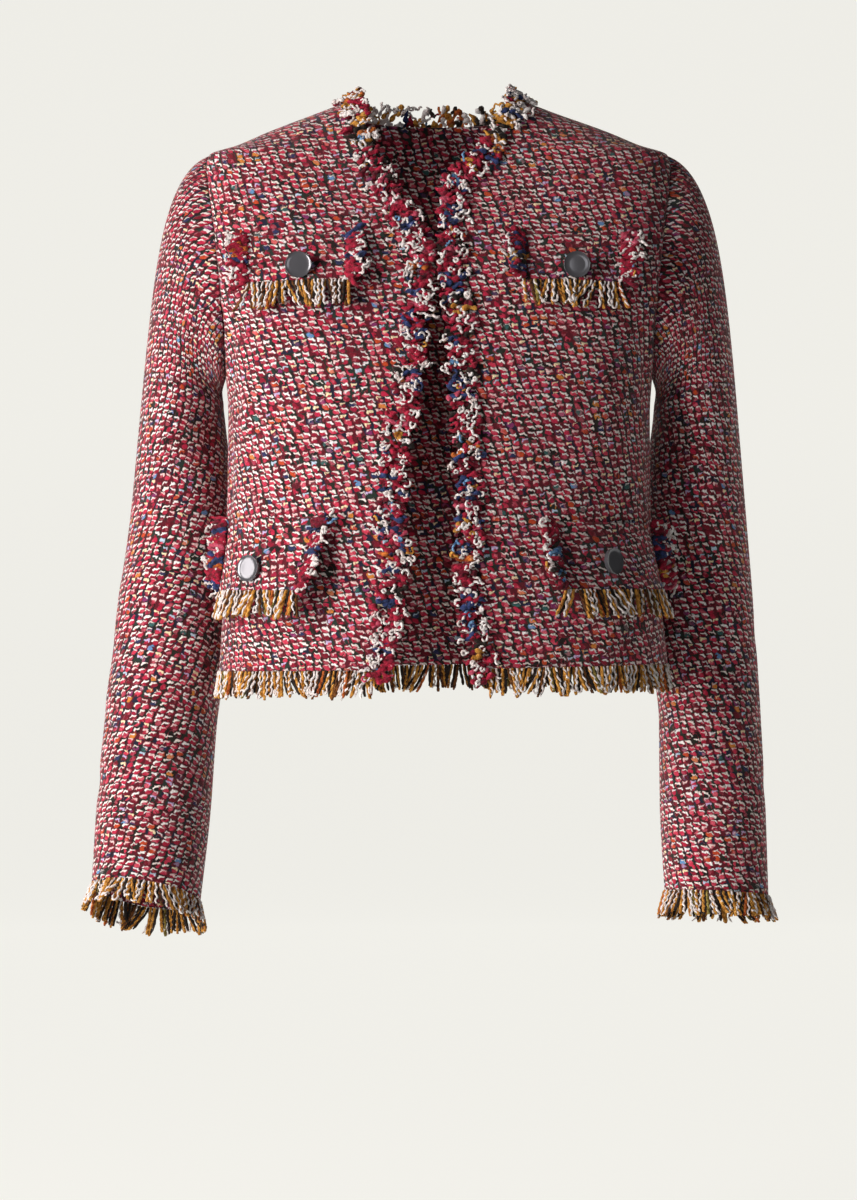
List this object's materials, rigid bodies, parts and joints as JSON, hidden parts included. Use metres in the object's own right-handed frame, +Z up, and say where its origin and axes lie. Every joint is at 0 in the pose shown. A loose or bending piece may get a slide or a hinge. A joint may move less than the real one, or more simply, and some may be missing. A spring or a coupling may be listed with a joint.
{
  "type": "cropped tweed jacket",
  "caption": "Cropped collarless open-front jacket of boucle tweed, hollow as when worn, with flared sleeves, buttoned pocket flaps at chest and hip, and frayed fringe edges",
  "frame": {"origin": "midway between the two points where the shoulder seams meet the neckline, where the wearer's neck and shoulders hold the jacket", "axes": "+Z up, -Y the way the wearer faces, +X the wearer's left"},
  "size_m": [0.5961, 0.268, 0.7344],
  "materials": {
    "tweed": "matte, rough, multicolour boucle weave",
    "weft_fray": "matte, loose weft yarns",
    "warp_fray": "matte, loose warp yarns",
    "button_enamel": "glossy, dark gunmetal"
  },
  "bodies": {
    "root": {"back": "tweed", "button_chest_left": "button_enamel", "button_chest_right": "button_enamel", "button_hip_left": "button_enamel", "button_hip_right": "button_enamel", "flap_chest_left": "tweed", "flap_chest_right": "tweed", "flap_hip_left": "tweed", "flap_hip_right": "tweed", "fringe_cuff_left": "warp_fray", "fringe_cuff_right": "warp_fray", "fringe_flap_chest_left": "warp_fray", "fringe_flap_chest_right": "warp_fray", "fringe_flap_hip_left": "warp_fray", "fringe_flap_hip_right": "warp_fray", "fringe_hem_back": "warp_fray", "fringe_hem_left": "warp_fray", "fringe_hem_right": "warp_fray", "front_left": "tweed", "front_right": "tweed", "sleeve_left": "tweed", "sleeve_right": "tweed", "trim_front_left": "weft_fray", "trim_front_right": "weft_fray", "trim_neck_back": "weft_fray", "tuft_chest_left_inner": "weft_fray", "tuft_chest_left_outer": "weft_fray", "tuft_chest_right_inner": "weft_fray", "tuft_chest_right_outer": "weft_fray", "tuft_hip_left_inner": "weft_fray", "tuft_hip_left_outer": "weft_fray", "tuft_hip_right_inner": "weft_fray", "tuft_hip_right_outer": "weft_fray"}
  },
  "joints": []
}
